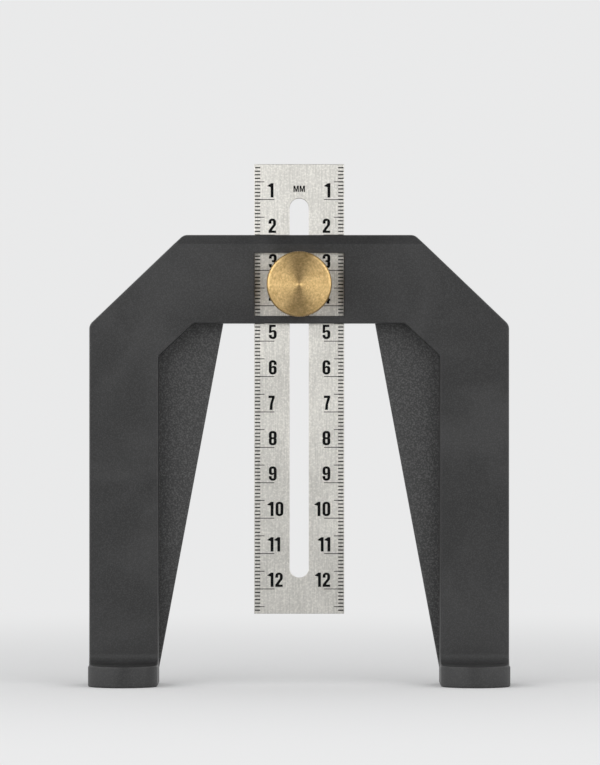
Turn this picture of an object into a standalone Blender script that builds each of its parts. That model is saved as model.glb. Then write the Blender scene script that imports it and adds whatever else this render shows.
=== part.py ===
"""Self-standing depth gauge: a moulded arch with a sliding steel rule, which a knurled brass knob clamps.

Metres, +Z up, the front towards -Y. The origin lies on the surface that the feet stand on, midway across
the arch and midway between the toes of the feet and the back of the arch. The rule is drawn at rest, with
its middle at a share of the height of the clamp.
"""

import math

import bmesh
import bpy
from mathutils import Matrix, Vector

# The arch as a whole
arch_width = 0.1184
arch_height = 0.127
arch_depth = 0.010
leg_width = 0.0195
crossbar_height = 0.025
outer_chamfer_across = 0.0266
outer_chamfer_up = 0.0254
inner_chamfer_across = 0.0099
inner_chamfer_up = 0.0092
outer_corner_radius = 0.0026
inner_corner_radius = 0.0016
edge_round = 0.0005
top_bevel_height = 0.0026
top_bevel_depth = 0.0020

# The half-round feet
foot_reach = 0.016
foot_thickness = 0.006
foot_fillet = 0.003
foot_block_height = 0.0092
nose_side_relief = 0.0004

# The thin wings inside the arch
wing_opening_at_crossbar = 0.043
wing_foot_height = 0.0045
wing_thickness = 0.0030
wing_setback = 0.0005
wing_overlap = 0.0012
wing_edge_round = 0.0004

# The cored back
skin = 0.0024
rib_thickness = 0.0016
pocket_fillet = 0.0009
leg_rib_count = 5
bend_rib_shares = (0.0, 0.5, 1.0)
crossbar_rib_share = 0.5

# The rule
ruler_length = 0.127
ruler_width = 0.0254
ruler_thickness = 0.0012
ruler_middle_share = 0.739
ruler_edge_break = 0.00012
slot_width = 0.0054
slot_top_margin = 0.0097
slot_bottom_margin = 0.0102

# The window and the channel in the crossbar
window_height = 0.0178
window_sill = 0.0021
window_side_clearance = 0.00005
lip_thickness = 0.0026
channel_side_clearance = 0.00025
seat_gap = 0.0003

# The clamp
bolt_radius = 0.0024
bolt_length = 0.012
bolt_point = 0.0005
bolt_head_flats = 0.008
bolt_head_height = 0.0035
bolt_head_recess = 0.0002
bolt_head_bevel = 0.0004
bolt_head_bevel_angle = math.radians(30)
washer_radius = 0.0065
washer_thickness = 0.0010
washer_edge_break = 0.0002
knob_radius = 0.0092
knob_length = 0.0075
knob_front_bevel = 0.0007
knob_rear_bevel = 0.0004
knob_face_clearance = 0.0005
shoulder_radius = 0.0060
shoulder_edge_break = 0.0003
knob_bore_margin = 0.0005
centre_mark_radius = 0.0007
centre_mark_depth = 0.0003
knurl_depth = 0.00032
knurl_teeth = 40
knurl_rows = 8

# The magnets under the feet
magnet_radius = 0.00635
magnet_thickness = 0.0030
magnet_edge_break = 0.0003
magnet_recess = 0.0003

# Making
cut_overrun = 0.002
weld_distance = 0.00001
corner_steps = 5
fillet_steps = 5
nose_steps = 18
round_steps = 40
magnet_steps = 40
smooth_angle = math.radians(32)
flat_angle = math.radians(0.5)
bevel_angle = math.radians(38)

# Places worked out from the sizes, front to back
arch_half = arch_width / 2
inner_half = arch_half - leg_width
leg_centre = arch_half - leg_width / 2
back_y = (arch_depth + foot_reach) / 2
front_y = back_y - arch_depth
toe_y = front_y - foot_reach
channel_front_y = front_y + lip_thickness
channel_depth = ruler_thickness + 2 * seat_gap
channel_back_y = channel_front_y + channel_depth
ruler_front_y = channel_front_y + seat_gap
head_pocket_y = back_y - bolt_head_recess - bolt_head_height - seat_gap
bolt_seat_y = head_pocket_y + seat_gap
washer_back_y = ruler_front_y - seat_gap
knob_seat_y = washer_back_y - washer_thickness - seat_gap

# Places worked out from the sizes, from the feet up
underside_z = arch_height - crossbar_height
window_bottom_z = underside_z + window_sill
clamp_z = window_bottom_z + window_height / 2
ruler_middle_z = clamp_z * ruler_middle_share
channel_half = ruler_width / 2 + channel_side_clearance

collection_name = "depth_gauge"


def clear_scene():
    """Removes every object of the scene."""
    for obj in list(bpy.data.objects):
        bpy.data.objects.remove(obj, do_unlink=True)


def new_collection(name, helpers=False):
    """A collection in the scene. A collection of helpers stays out of renders."""
    collection = bpy.data.collections.new(name)
    collection.hide_render = helpers
    bpy.context.scene.collection.children.link(collection)
    return collection


def finish(name, colour, roughness, metallic):
    """A plain Principled material."""
    material = bpy.data.materials.new(name)
    material.use_nodes = True
    shader = material.node_tree.nodes["Principled BSDF"]
    shader.inputs["Base Color"].default_value = (*colour, 1.0)
    shader.inputs["Roughness"].default_value = roughness
    shader.inputs["Metallic"].default_value = metallic
    return material


def add_object(name, mesh, collection, material=None):
    """Links a mesh as a named object, with its material."""
    obj = bpy.data.objects.new(name, mesh)
    collection.objects.link(obj)
    if material:
        obj.data.materials.clear()
        obj.data.materials.append(material)
    if collection.hide_render:
        obj.hide_render = True
        obj.display_type = "WIRE"
    return obj


def plane_matrix(across, up, outward, origin=(0, 0, 0)):
    """The matrix that takes local X, Y and Z to three world directions."""
    matrix = Matrix((across, up, outward)).transposed().to_4x4()
    matrix.translation = Vector(origin)
    return matrix


def front_plane(y=0):
    """Local X, Y and Z lie along world X, Z and -Y."""
    return plane_matrix((1, 0, 0), (0, 0, 1), (0, -1, 0), (0, y, 0))


def side_plane(x=0):
    """Local X, Y and Z lie along world Y, Z and X."""
    return plane_matrix((0, 1, 0), (0, 0, 1), (1, 0, 0), (x, 0, 0))


def floor_plane(z=0):
    """Local X, Y and Z lie along world X, Y and Z."""
    return Matrix.Translation((0, 0, z))


def rounded(corners, steps):
    """The outline through (x, y, radius) corners, each one turned into an arc of its radius."""
    points = []
    count = len(corners)
    for index, (x, y, radius) in enumerate(corners):
        corner = Vector((x, y))
        if not radius:
            points.append(corner)
            continue
        before = (Vector(corners[index - 1][:2]) - corner).normalized()
        after = (Vector(corners[(index + 1) % count][:2]) - corner).normalized()
        half_angle = before.angle(after) / 2
        centre = corner + (before + after).normalized() * (radius / math.sin(half_angle))
        start = corner + before * (radius / math.tan(half_angle)) - centre
        turn = start.angle_signed(corner + after * (radius / math.tan(half_angle)) - centre)
        for step in range(steps + 1):
            points.append(centre + Matrix.Rotation(-turn * step / steps, 2) @ start)
    return points


def inset(points, distance):
    """A clockwise outline moved inwards by a distance, with mitred corners."""
    moved = []
    count = len(points)
    for index in range(count):
        corner = Vector(points[index])
        into = (corner - Vector(points[index - 1])).normalized()
        out = (Vector(points[(index + 1) % count]) - corner).normalized()
        into_normal = Vector((into.y, -into.x))
        out_normal = Vector((out.y, -out.x))
        mitre = (into_normal + out_normal).normalized()
        moved.append(corner + mitre * (distance / mitre.dot(out_normal)))
    return moved


def plate(name, outlines, thickness, matrix, collection, material=None):
    """A flat plate of this thickness, centred on its plane, from one outline and the holes in it."""
    curve = bpy.data.curves.new(name, "CURVE")
    curve.dimensions = "2D"
    curve.fill_mode = "BOTH"
    curve.extrude = thickness / 2
    for outline in outlines:
        spline = curve.splines.new("POLY")
        spline.points.add(len(outline) - 1)
        for point, (x, y) in zip(spline.points, outline):
            point.co = (x, y, 0, 1)
        spline.use_cyclic_u = True
    drawn = bpy.data.objects.new(name, curve)
    drawn.matrix_world = matrix
    bpy.context.scene.collection.objects.link(drawn)
    bpy.context.view_layer.update()
    graph = bpy.context.evaluated_depsgraph_get()
    mesh = bpy.data.meshes.new_from_object(drawn.evaluated_get(graph))
    bpy.data.objects.remove(drawn, do_unlink=True)
    bpy.data.curves.remove(curve)
    shape = bmesh.new()
    shape.from_mesh(mesh)
    bmesh.ops.remove_doubles(shape, verts=shape.verts, dist=weld_distance)
    bmesh.ops.dissolve_limit(shape, angle_limit=flat_angle, verts=shape.verts, edges=shape.edges)
    bmesh.ops.recalc_face_normals(shape, faces=shape.faces)
    shape.to_mesh(mesh)
    shape.free()
    mesh.name = name
    obj = add_object(name, mesh, collection, material)
    obj.matrix_world = matrix
    return obj


def turned(name, profile, steps, matrix, collection, material=None, ring=False):
    """A turned piece: (radius, height) points down its outer side, spun about local Z.

    A ring has a hole through it, so its profile closes on itself.
    """
    mesh = bpy.data.meshes.new(name)
    points = [(radius, 0, height) for radius, height in profile]
    count = len(points)
    mesh.from_pydata(points, [(n, (n + 1) % count) for n in range(count if ring else count - 1)], [])
    obj = add_object(name, mesh, collection, material)
    obj.matrix_world = matrix
    screw = obj.modifiers.new("turn", "SCREW")
    screw.axis = "Z"
    screw.steps = steps
    screw.render_steps = steps
    screw.use_merge_vertices = True
    screw.merge_threshold = weld_distance
    screw.use_smooth_shade = True
    return obj


def box(name, low, high, collection):
    """A box between two corners, from a unit cube."""
    mesh = bpy.data.meshes.new(name)
    shape = bmesh.new()
    bmesh.ops.create_cube(shape, size=1.0)
    size = Vector(high) - Vector(low)
    middle = (Vector(high) + Vector(low)) / 2
    bmesh.ops.transform(shape, matrix=Matrix.Diagonal((*size, 1.0)), verts=shape.verts)
    shape.to_mesh(mesh)
    shape.free()
    obj = add_object(name, mesh, collection)
    obj.location = middle
    return obj


def combine(target, tool, operation="DIFFERENCE"):
    """Adds an exact Boolean with the tool to the target."""
    modifier = target.modifiers.new(f"{operation.lower()} {tool.name}", "BOOLEAN")
    modifier.operation = operation
    modifier.solver = "EXACT"
    modifier.object = tool


def weld(obj):
    """Merges the points that a Boolean leaves on each other, before a bevel."""
    modifier = obj.modifiers.new("weld", "WELD")
    modifier.merge_threshold = weld_distance


def round_edges(obj, width, segments=2):
    """Rounds the edges that are sharper than the bevel angle."""
    bevel = obj.modifiers.new("round edges", "BEVEL")
    bevel.width = width
    bevel.segments = segments
    bevel.limit_method = "ANGLE"
    bevel.angle_limit = bevel_angle


def smooth(obj):
    """Shades the round faces smooth and keeps the real edges sharp."""
    obj.data.shade_smooth()
    obj.data.set_sharp_from_angle(angle=smooth_angle)


def arch_corners(bottom_z):
    """The clockwise corners of the arch seen from the front, as (x, z, corner radius)."""
    crown_half = arch_half - outer_chamfer_across
    shoulder_z = arch_height - outer_chamfer_up
    ceiling_half = inner_half - inner_chamfer_across
    haunch_z = underside_z - inner_chamfer_up
    left = [
        (-arch_half, bottom_z, 0),
        (-arch_half, shoulder_z, outer_corner_radius),
        (-crown_half, arch_height, outer_corner_radius),
    ]
    inner_right = [
        (inner_half, bottom_z, 0),
        (inner_half, haunch_z, inner_corner_radius),
        (ceiling_half, underside_z, inner_corner_radius),
    ]
    right = [(-x, z, radius) for x, z, radius in reversed(left)]
    inner_left = [(-x, z, radius) for x, z, radius in reversed(inner_right)]
    return left + right + inner_right + inner_left


def arch_side_outline():
    """The arch from the side, as (y, z): upright behind, foot in front, fillet between, bevel on top."""
    over_top_z = arch_height + cut_overrun
    bevel_slope = top_bevel_depth / top_bevel_height
    corners = [
        (back_y, 0, 0),
        (back_y, over_top_z, 0),
        (front_y + bevel_slope * (top_bevel_height + cut_overrun), over_top_z, 0),
        (front_y, arch_height - top_bevel_height, 0),
        (front_y, foot_thickness, foot_fillet),
        (toe_y - cut_overrun, foot_thickness, 0),
        (toe_y - cut_overrun, 0, 0),
    ]
    return rounded(corners, fillet_steps)


def arch_plan_outline():
    """The arch from above, as (x, y): straight behind, and a half-round nose in front of each leg."""
    nose_radius = leg_width / 2 + nose_side_relief
    nose_y = toe_y + nose_radius
    side_x = leg_centre + nose_radius
    behind_y = back_y + cut_overrun
    points = [Vector((-side_x, behind_y)), Vector((side_x, behind_y))]
    for centre_x in (leg_centre, -leg_centre):
        for step in range(nose_steps + 1):
            angle = -math.pi * step / nose_steps
            points.append(
                Vector((centre_x + nose_radius * math.cos(angle), nose_y + nose_radius * math.sin(angle)))
            )
    return points


def add_wings(arch, cutters):
    """Joins the thin wings to the arch. Their free edges lean from the crossbar down to the legs."""
    top_half = wing_opening_at_crossbar / 2
    lean = (inner_half - top_half) / (underside_z - wing_foot_height)
    root_x = inner_half + wing_overlap
    root_z = underside_z + wing_overlap
    tip_z = wing_foot_height - edge_round / lean
    corners = [
        (top_half - lean * wing_overlap, root_z),
        (root_x, root_z),
        (root_x, tip_z),
        (inner_half + edge_round, tip_z),
    ]
    middle_y = back_y - wing_setback - wing_thickness / 2
    for side, name in ((1, "right"), (-1, "left")):
        outline = [(side * x, z) for x, z in corners]
        wing = plate(f"wing_{name}", [outline], wing_thickness, front_plane(middle_y), cutters)
        round_edges(wing, wing_edge_round)
        combine(arch, wing, "UNION")


def rib_slab(name, inner, outer, cutters):
    """The space that one rib keeps: a slab from the arch's inner outline to its outer one."""
    inner = Vector(inner)
    outer = Vector(outer)
    along = (outer - inner).normalized()
    reach = (outer - inner).length / 2 + cut_overrun
    depth = arch_depth / 2 + 2 * cut_overrun
    slab = box(name, (-reach, -depth, -rib_thickness / 2), (reach, depth, rib_thickness / 2), cutters)
    middle = (inner + outer) / 2
    place = (middle.x, (front_y + back_y) / 2, middle.y)
    slab.matrix_world = plane_matrix((along.x, 0, along.y), (0, 1, 0), (-along.y, 0, along.x), place)
    return slab


def core_outline():
    """The outline of the cored space before its ribs: the arch's own, moved in by the skin."""
    return inset([(x, z) for x, z, _ in arch_corners(foot_block_height - skin)], skin)


def rib_lines():
    """Where the right half's ribs run, each as its inner and its outer end, as (x, z)."""
    _, _, _, crown, shoulder, _, _, haunch, ceiling, _, _, _ = core_outline()
    lines = []
    for number in range(1, leg_rib_count + 1):
        z = foot_block_height + (haunch.y - foot_block_height) * number / (leg_rib_count + 1)
        lines.append(((inner_half, z), (arch_half, z)))
    for share in bend_rib_shares:
        lines.append((haunch.lerp(ceiling, share), shoulder.lerp(crown, share)))
    block_half = channel_half + skin
    x = block_half + (ceiling.x - block_half) * crossbar_rib_share
    lines.append(((x, underside_z), (x, arch_height)))
    return lines


def core_back(arch, cutters):
    """Cores the arch from behind, and leaves its walls, ribs, feet and the block round the channel."""
    skin_y = front_y + skin
    open_y = back_y + cut_overrun
    core = plate("core", [core_outline()], open_y - skin_y, front_plane((skin_y + open_y) / 2), cutters)
    for number, (inner, outer) in enumerate(rib_lines()):
        for side, name in ((1, "right"), (-1, "left")):
            ends = [(side * x, z) for x, z in (inner, outer)]
            combine(core, rib_slab(f"rib_{name}_{number}", *ends, cutters))
    block_half = channel_half + skin
    block = box(
        "channel_block",
        (-block_half, front_y, underside_z - cut_overrun),
        (block_half, open_y + cut_overrun, arch_height + cut_overrun),
        cutters,
    )
    combine(core, block)
    weld(core)
    round_edges(core, pocket_fillet)
    combine(arch, core)


def cut_clamp_seats(arch, cutters):
    """Cuts the window, the channel for the rule, the bolt's bore and the pocket for its head."""
    window_half = ruler_width / 2 + window_side_clearance
    window = box(
        "window",
        (-window_half, front_y - cut_overrun, window_bottom_z),
        (window_half, channel_front_y + channel_depth / 2, window_bottom_z + window_height),
        cutters,
    )
    channel = box(
        "channel",
        (-channel_half, channel_front_y, underside_z - cut_overrun),
        (channel_half, channel_back_y, arch_height + cut_overrun),
        cutters,
    )
    bore_radius = bolt_radius + seat_gap
    bore_length = head_pocket_y - channel_back_y + 2 * cut_overrun
    bore_front_y = channel_back_y - channel_depth / 2
    bore = turned(
        "bolt_bore",
        [(0, bore_length), (bore_radius, bore_length), (bore_radius, 0), (0, 0)],
        round_steps,
        plane_matrix((1, 0, 0), (0, 0, -1), (0, 1, 0), (0, bore_front_y, clamp_z)),
        cutters,
    )
    pocket_depth = back_y + cut_overrun - head_pocket_y
    pocket = plate(
        "head_pocket",
        [hexagon(bolt_head_flats + 2 * seat_gap)],
        pocket_depth,
        plane_matrix((1, 0, 0), (0, 0, 1), (0, -1, 0), (0, head_pocket_y + pocket_depth / 2, clamp_z)),
        cutters,
    )
    for tool in (window, channel, bore, pocket):
        combine(arch, tool)


def cut_magnet_pockets(arch, cutters):
    """Cuts the round pocket under each foot."""
    radius = magnet_radius + seat_gap
    top_z = magnet_recess + magnet_thickness + seat_gap
    for centre_x, name in ((leg_centre, "right"), (-leg_centre, "left")):
        pocket = turned(
            f"magnet_pocket_{name}",
            [(0, top_z), (radius, top_z), (radius, -cut_overrun), (0, -cut_overrun)],
            magnet_steps,
            Matrix.Translation((centre_x, magnet_y(), 0)),
            cutters,
        )
        combine(arch, pocket)


def magnet_y():
    """The magnet lies under the middle of the foot's half-round nose."""
    return toe_y + leg_width / 2


def make_arch(parts, cutters):
    """The moulded arch: its front, side and plan outlines crossed, then wings, cored back and seats."""
    outline = rounded(arch_corners(-cut_overrun), corner_steps)
    depth = arch_depth + foot_reach + 2 * cut_overrun
    arch = plate(
        "frame_body",
        [outline],
        depth,
        front_plane((toe_y + back_y) / 2),
        parts,
        finish("black moulded plastic", (0.055, 0.055, 0.056), 0.45, 0.0),
    )
    side = plate("arch_side", [arch_side_outline()], arch_width + 2 * cut_overrun, side_plane(), cutters)
    tall = arch_height + 4 * cut_overrun
    plan = plate("arch_plan", [arch_plan_outline()], tall, floor_plane(arch_height / 2), cutters)
    combine(arch, side, "INTERSECT")
    combine(arch, plan, "INTERSECT")
    round_edges(arch, edge_round)
    add_wings(arch, cutters)
    core_back(arch, cutters)
    cut_clamp_seats(arch, cutters)
    cut_magnet_pockets(arch, cutters)
    smooth(arch)
    return arch


def make_ruler(parts):
    """The steel rule: a strip with square ends and one long slot with round ends."""
    half_width = ruler_width / 2
    half_length = ruler_length / 2
    strip = [
        (-half_width, -half_length),
        (-half_width, half_length),
        (half_width, half_length),
        (half_width, -half_length),
    ]
    slot_radius = slot_width / 2
    arc_top = half_length - slot_top_margin - slot_radius
    arc_bottom = slot_bottom_margin + slot_radius - half_length
    slot = []
    for centre, first_angle in ((arc_top, 0), (arc_bottom, math.pi)):
        for step in range(nose_steps + 1):
            angle = first_angle + math.pi * step / nose_steps
            slot.append((slot_radius * math.cos(angle), centre + slot_radius * math.sin(angle)))
    ruler = plate(
        "ruler",
        [strip, slot],
        ruler_thickness,
        plane_matrix(
            (1, 0, 0),
            (0, 0, 1),
            (0, -1, 0),
            (0, ruler_front_y + ruler_thickness / 2, ruler_middle_z),
        ),
        parts,
        finish("brushed steel", (0.62, 0.61, 0.58), 0.35, 1.0),
    )
    round_edges(ruler, ruler_edge_break, 1)
    smooth(ruler)
    return ruler


def hexagon(flats):
    """A hexagon of this width across its flats, with two corners up and down."""
    corner = flats / math.sqrt(3)
    angles = [math.pi * number / 3 for number in range(6)]
    return [(corner * math.sin(angle), corner * math.cos(angle)) for angle in angles]


def make_bolt(parts, cutters):
    """The bolt: a turned shank and head blank, whose head is then cut to a hexagon."""
    head_radius = bolt_head_flats / math.sqrt(3)
    face_radius = bolt_head_flats / 2 - bolt_head_bevel
    bevel_height = (head_radius - face_radius) * math.tan(bolt_head_bevel_angle)
    profile = [
        (0, bolt_head_height),
        (face_radius, bolt_head_height),
        (head_radius, bolt_head_height - bevel_height),
        (head_radius, 0),
        (bolt_radius, 0),
        (bolt_radius, bolt_point - bolt_length),
        (bolt_radius - bolt_point, -bolt_length),
        (0, -bolt_length),
    ]
    bolt = turned(
        "clamp_bolt",
        profile,
        round_steps,
        plane_matrix((1, 0, 0), (0, 0, -1), (0, 1, 0), (0, bolt_seat_y, clamp_z)),
        parts,
        finish("zinc-plated steel", (0.60, 0.61, 0.62), 0.30, 1.0),
    )
    stock_length = bolt_length + bolt_head_height + 2 * cut_overrun
    stock = plate(
        "hex_stock",
        [hexagon(bolt_head_flats)],
        stock_length,
        front_plane(bolt_seat_y + (bolt_head_height - bolt_length) / 2),
        cutters,
    )
    stock.location.z = clamp_z
    combine(bolt, stock, "INTERSECT")
    return bolt


def make_washer(parts):
    """The flat washer, with broken outer edges."""
    bore_radius = bolt_radius + seat_gap
    return turned(
        "clamp_washer",
        [
            (bore_radius, washer_thickness),
            (washer_radius - washer_edge_break, washer_thickness),
            (washer_radius, washer_thickness - washer_edge_break),
            (washer_radius, washer_edge_break),
            (washer_radius - washer_edge_break, 0),
            (bore_radius, 0),
        ],
        round_steps,
        plane_matrix((1, 0, 0), (0, 0, 1), (0, -1, 0), (0, washer_back_y, clamp_z)),
        parts,
        finish("washer steel", (0.58, 0.59, 0.60), 0.35, 1.0),
        ring=True,
    )


def knob_profile():
    """The knob's turned blank, front to back, and the heights between which it is knurled."""
    shoulder_length = knob_seat_y - (front_y - knob_face_clearance)
    front = shoulder_length + knob_length
    knurl_radius = knob_radius - knurl_depth
    knurl_top = front - knob_front_bevel
    knurl_bottom = shoulder_length + knob_rear_bevel
    bore_radius = bolt_radius + seat_gap
    bore_depth = bolt_length - (bolt_seat_y - knob_seat_y) + knob_bore_margin
    shares = [row / knurl_rows for row in range(knurl_rows + 1)]
    rows = [(knurl_radius, knurl_top + (knurl_bottom - knurl_top) * share) for share in shares]
    before = [
        (0, front - centre_mark_depth),
        (centre_mark_radius, front),
        (knurl_radius - knob_front_bevel, front),
    ]
    after = [
        (knurl_radius - knob_rear_bevel, shoulder_length),
        (shoulder_radius, shoulder_length),
        (shoulder_radius, shoulder_edge_break),
        (shoulder_radius - shoulder_edge_break, 0),
        (bore_radius, 0),
        (bore_radius, bore_depth),
        (0, bore_depth),
    ]
    return before + rows + after, knurl_top, knurl_bottom


def knurl(mesh, top, bottom):
    """Raises a diamond knurl on a turned mesh between two heights.

    The points form a chequer of columns and rows, and every other one stands out by the knurl depth. The
    raised ones become the tips of small pyramids, because each face is split between its two low corners,
    and so the low corners line up as crossing grooves.
    """
    shape = bmesh.new()
    shape.from_mesh(mesh)
    column_angle = math.pi / knurl_teeth
    row_height = (top - bottom) / knurl_rows
    valley_radius = knob_radius - knurl_depth
    low = set()
    band = set()
    for vertex in shape.verts:
        x, y, z = vertex.co
        if abs(math.hypot(x, y) - valley_radius) > knurl_depth / 2:
            continue
        if not bottom - row_height / 2 < z < top + row_height / 2:
            continue
        column = round(math.atan2(y, x) / column_angle)
        row = round((top - z) / row_height)
        band.add(vertex)
        if 0 < row < knurl_rows and (column + row) % 2:
            growth = knob_radius / valley_radius
            vertex.co = (x * growth, y * growth, z)
        else:
            low.add(vertex)
    for face in [face for face in shape.faces if all(vertex in band for vertex in face.verts)]:
        corners = list(face.verts)
        for first in (0, 1):
            if corners[first] in low and corners[first + 2] in low:
                bmesh.utils.face_split(face, corners[first], corners[first + 2])
                break
    shape.to_mesh(mesh)
    shape.free()


def make_knob(parts):
    """The brass knob: a turned blank with a shoulder and a blind bore, knurled round its rim."""
    profile, top, bottom = knob_profile()
    matrix = plane_matrix((1, 0, 0), (0, 0, 1), (0, -1, 0), (0, knob_seat_y, clamp_z))
    brass = finish("turned brass", (0.62, 0.43, 0.16), 0.28, 1.0)
    blank = turned("knob_blank", profile, 2 * knurl_teeth, matrix, parts)
    bpy.context.view_layer.update()
    graph = bpy.context.evaluated_depsgraph_get()
    mesh = bpy.data.meshes.new_from_object(blank.evaluated_get(graph))
    bpy.data.objects.remove(blank, do_unlink=True)
    mesh.name = "clamp_knob"
    knurl(mesh, top, bottom)
    knob = add_object("clamp_knob", mesh, parts, brass)
    knob.matrix_world = matrix
    smooth(knob)
    return knob


def make_magnets(parts):
    """The disc magnets under the feet."""
    plated = finish("plated magnet", (0.66, 0.65, 0.62), 0.22, 1.0)
    low = magnet_recess
    high = magnet_recess + magnet_thickness
    profile = [
        (0, high),
        (magnet_radius - magnet_edge_break, high),
        (magnet_radius, high - magnet_edge_break),
        (magnet_radius, low + magnet_edge_break),
        (magnet_radius - magnet_edge_break, low),
        (0, low),
    ]
    for centre_x, name in ((leg_centre, "right"), (-leg_centre, "left")):
        place = Matrix.Translation((centre_x, magnet_y(), 0))
        turned(f"foot_magnet_{name}", profile, magnet_steps, place, parts, plated)


def main():
    """Builds the gauge: the fixed pieces, the sliding rule, and the knob and washer on the clamp's axis."""
    clear_scene()
    parts = new_collection(collection_name)
    cutters = new_collection("cutters", helpers=True)
    make_arch(parts, cutters)
    make_ruler(parts)
    make_bolt(parts, cutters)
    make_washer(parts)
    make_knob(parts)
    make_magnets(parts)


main()
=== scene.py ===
"""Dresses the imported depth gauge: finer meshes, procedural finishes, a pale floor, studio light and a camera.

Metres, +Z up, the front towards -Y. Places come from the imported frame, and each piece rides on its CAD body.
A finished piece's object stays at the origin, with its place in its mesh, so that Object coordinates are the
whole gauge's.
"""

import logging
import math
from dataclasses import dataclass, field
from enum import Enum

import bmesh
import bpy
import numpy as np
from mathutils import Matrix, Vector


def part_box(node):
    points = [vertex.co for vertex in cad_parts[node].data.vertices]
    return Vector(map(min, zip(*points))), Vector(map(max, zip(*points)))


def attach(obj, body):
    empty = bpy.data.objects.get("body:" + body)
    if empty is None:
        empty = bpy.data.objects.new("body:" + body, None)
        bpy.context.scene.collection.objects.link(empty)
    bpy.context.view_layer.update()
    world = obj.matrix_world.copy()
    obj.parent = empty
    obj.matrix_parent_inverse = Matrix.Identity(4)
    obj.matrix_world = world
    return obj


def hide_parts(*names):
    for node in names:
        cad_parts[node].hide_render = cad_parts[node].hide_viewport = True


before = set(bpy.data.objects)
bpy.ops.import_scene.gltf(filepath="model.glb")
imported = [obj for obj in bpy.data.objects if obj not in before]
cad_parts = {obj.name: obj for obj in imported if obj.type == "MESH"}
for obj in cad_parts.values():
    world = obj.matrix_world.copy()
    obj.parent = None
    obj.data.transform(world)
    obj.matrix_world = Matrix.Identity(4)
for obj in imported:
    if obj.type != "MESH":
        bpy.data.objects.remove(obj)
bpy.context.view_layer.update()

log = logging.getLogger("depth_gauge")

MM = 0.001
MERGE = 1e-7

# A colour or a vector, a node's output or input, and what an input for a number takes
Triple = tuple[float, float, float]
Socket = bpy.types.NodeSocket
Value = Socket | float


class Side(Enum):
    """The two mirrored halves of the gauge, by the sign of X."""

    LEFT = -1
    RIGHT = 1


# Places and meshes


@dataclass(frozen=True)
class NodeBox:
    """A CAD node's lowest and highest corner at rest."""

    low: np.ndarray
    high: np.ndarray

    @classmethod
    def of(cls, node: str) -> "NodeBox":
        """The box of the CAD node of this name."""
        low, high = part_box(node)
        return cls(np.array(low), np.array(high))

    @property
    def centre(self) -> np.ndarray:
        """The middle of the box."""
        return (self.low + self.high) / 2

    @property
    def size(self) -> np.ndarray:
        """The length of each side."""
        return self.high - self.low


@dataclass(frozen=True)
class Axis:
    """A turned piece's axis: a point on it, two directions square to it, and the direction along it."""

    origin: np.ndarray
    across: Triple
    up: Triple
    along: Triple

    def points(self, radius: np.ndarray, angle: np.ndarray, height: np.ndarray) -> np.ndarray:
        """Points at cylinder coordinates: the origin, plus the radius turned by the angle, plus the height.

        Args:
            radius: Distance from the axis.
            angle: Turn from `across` towards `up`.
            height: Distance along the axis.

        Returns:
            Points, with x, y and z in the last dimension.
        """
        turned = np.cos(angle)[..., None] * self.across + np.sin(angle)[..., None] * self.up
        return self.origin + radius[..., None] * turned + height[..., None] * np.array(self.along)


@dataclass
class Solid:
    """A closed mesh as arrays: points, and faces as rows of corner numbers."""

    points: np.ndarray
    faces: np.ndarray

    def copies(self, offsets: np.ndarray) -> "Solid":
        """This solid at each offset, as one solid: every copy's corner numbers are moved past those before.

        Args:
            offsets: Rows of x, y and z.

        Returns:
            The copies as one solid.
        """
        points = (self.points[None] + offsets[:, None]).reshape(-1, 3)
        shift = np.arange(len(offsets))[:, None, None] * len(self.points)
        return Solid(points, (self.faces[None] + shift).reshape(-1, self.faces.shape[1]))

    @staticmethod
    def joined(solids: list["Solid"]) -> "Solid":
        """Several solids as one, with each one's corner numbers moved past those before.

        Args:
            solids: Solids whose faces have the same number of corners.

        Returns:
            One solid.
        """
        starts = np.cumsum([0] + [len(solid.points) for solid in solids[:-1]])
        faces = [solid.faces + start for solid, start in zip(solids, starts)]
        return Solid(np.concatenate([solid.points for solid in solids]), np.concatenate(faces))

    def build(self, name: str, sharp: float) -> bpy.types.Object:
        """Makes the object: doubles merged, faces outwards, smooth but for edges sharper than an angle.

        Args:
            name: The piece's name.
            sharp: The angle, in radians, above which an edge stays sharp.

        Returns:
            The object, at the origin.
        """
        mesh = bpy.data.meshes.new(name)
        mesh.from_pydata(self.points.tolist(), [], self.faces.tolist())
        shape = bmesh.new()
        shape.from_mesh(mesh)
        bmesh.ops.remove_doubles(shape, verts=shape.verts, dist=MERGE)
        bmesh.ops.recalc_face_normals(shape, faces=shape.faces)
        shape.to_mesh(mesh)
        shape.free()
        mesh.shade_smooth()
        mesh.set_sharp_from_angle(angle=sharp)
        made = bpy.data.objects.new(name, mesh)
        bpy.context.scene.collection.objects.link(made)
        flatten_flats(made)
        return made


def flatten_flats(piece: bpy.types.Object, weight: int = 100) -> None:
    """Weighs a piece's normals by face area, so that its flats shade flat up to their rounded edges.

    Args:
        piece: A smooth-shaded object.
        weight: How far the larger faces win, where 100 is the most.
    """
    weighing = piece.modifiers.new("flat flats", "WEIGHTED_NORMAL")
    weighing.mode = "FACE_AREA"
    weighing.weight = weight
    weighing.keep_sharp = True


def grid_faces(rows: int, columns: int, close_rows: bool = False) -> np.ndarray:
    """Quads between neighbours on a grid of points whose columns close into rings.

    Args:
        rows: How many rings there are.
        columns: How many points a ring has.
        close_rows: Whether the last ring joins the first.

    Returns:
        One row of four corner numbers for each quad.
    """
    row, column = np.meshgrid(np.arange(rows - 1 + close_rows), np.arange(columns), indexing="ij")
    next_row, next_column = (row + 1) % rows, (column + 1) % columns
    corners = (
        row * columns + column,
        row * columns + next_column,
        next_row * columns + next_column,
        next_row * columns + column,
    )
    return np.stack(corners, axis=-1).reshape(-1, 4)


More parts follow.
